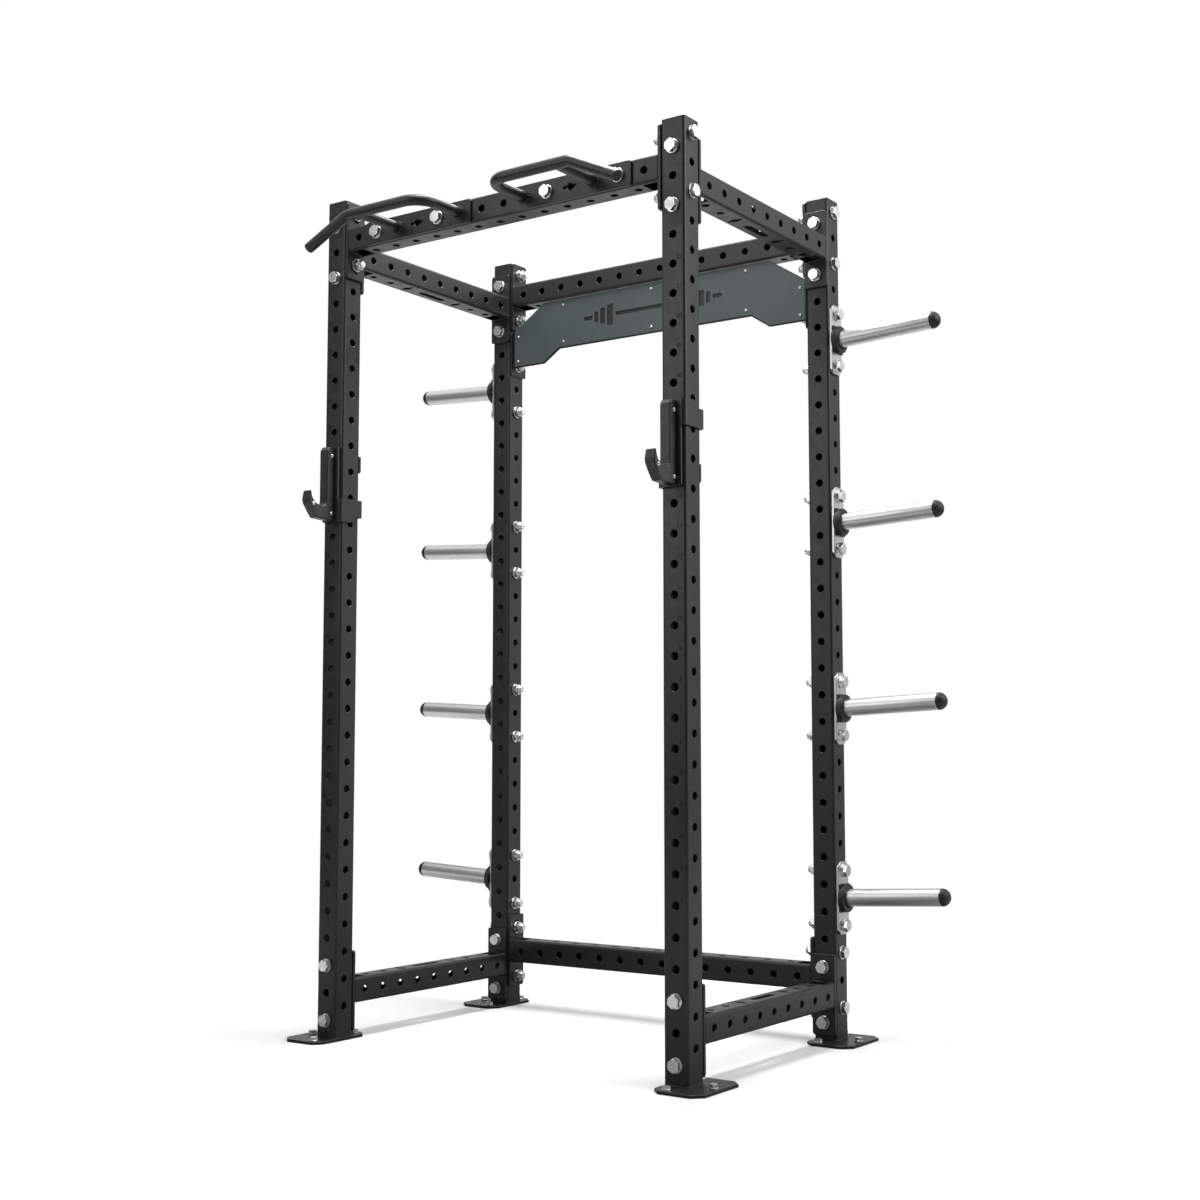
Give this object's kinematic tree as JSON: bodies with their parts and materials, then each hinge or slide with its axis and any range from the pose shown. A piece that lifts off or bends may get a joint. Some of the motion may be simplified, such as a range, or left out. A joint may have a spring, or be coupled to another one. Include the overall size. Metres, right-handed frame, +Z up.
{
  "type": "power cage",
  "caption": "Free-standing steel squat cage with perforated square uprights on bolt-down feet, bolted cross beams, pull-up handles, plate pegs, a sign panel and twist-in J-hooks",
  "frame": {"origin": "on the floor under the middle of the object's bounding box", "axes": "+Z up, +X to the right of a person who looks in from the front, +Y from the front of the cage to the back"},
  "size_m": [1.8662, 1.087, 2.382],
  "materials": {
    "black_coat": "satin black powder coat with a fine texture",
    "steel_sleeve": "zinc plated, fine turned grain",
    "zinc_fastener": "bright zinc plated",
    "black_plastic": "moulded matt black",
    "hook_plastic": "machined wear-resistant plastic, satin",
    "sign_slate": "slate powder coat, satin"
  },
  "bodies": {
    "cage": {"front_left_upright": "black_coat", "front_left_foot": "black_coat", "front_left_top_cap": "black_plastic", "front_right_upright": "black_coat", "front_right_foot": "black_coat", "front_right_top_cap": "black_plastic", "rear_left_upright": "black_coat", "rear_left_foot": "black_coat", "rear_left_top_cap": "black_plastic", "rear_right_upright": "black_coat", "rear_right_foot": "black_coat", "rear_right_top_cap": "black_plastic", "top_front_beam": "black_coat", "top_rear_beam": "black_coat", "bottom_rear_beam": "black_coat", "top_left_beam": "black_coat", "top_right_beam": "black_coat", "bottom_left_beam": "black_coat", "bottom_right_beam": "black_coat", "pull_up_handle_left": "black_coat", "pull_up_handle_right": "black_coat", "sign_face": "sign_slate", "sign_backing": "black_coat", "left_peg_1": "steel_sleeve", "left_collar_1": "black_plastic", "left_end_cap_1": "black_plastic", "left_peg_2": "steel_sleeve", "left_collar_2": "black_plastic", "left_end_cap_2": "black_plastic", "left_peg_3": "steel_sleeve", "left_collar_3": "black_plastic", "left_end_cap_3": "black_plastic", "left_peg_4": "steel_sleeve", "left_collar_4": "black_plastic", "left_end_cap_4": "black_plastic", "right_peg_1": "steel_sleeve", "right_collar_1": "black_plastic", "right_end_cap_1": "black_plastic", "right_peg_2": "steel_sleeve", "right_collar_2": "black_plastic", "right_end_cap_2": "black_plastic", "right_peg_3": "steel_sleeve", "right_collar_3": "black_plastic", "right_end_cap_3": "black_plastic", "right_peg_4": "steel_sleeve", "right_collar_4": "black_plastic", "right_end_cap_4": "black_plastic"},
    "hook_left": {"jhook_left_frame": "black_coat", "jhook_left_pad_outer": "hook_plastic", "jhook_left_pad_inner": "hook_plastic", "jhook_left_liner_front": "black_plastic", "jhook_left_liner_upper": "black_plastic", "jhook_left_liner_lower": "black_plastic"},
    "hook_right": {"jhook_right_frame": "black_coat", "jhook_right_pad_outer": "hook_plastic", "jhook_right_pad_inner": "hook_plastic", "jhook_right_liner_front": "black_plastic", "jhook_right_liner_upper": "black_plastic", "jhook_right_liner_lower": "black_plastic"}
  },
  "joints": [
    {"name": "hook_left_turn", "type": "hinge", "parent": "cage", "child": "hook_left", "pos_m": [-0.574, -0.3285, 1.5558], "axis": [0, -1, 0], "range_deg": [0, 90]},
    {"name": "hook_right_turn", "type": "hinge", "parent": "cage", "child": "hook_right", "pos_m": [0.574, -0.3285, 1.5558], "axis": [0, 1, 0], "range_deg": [0, 90]}
  ]
}
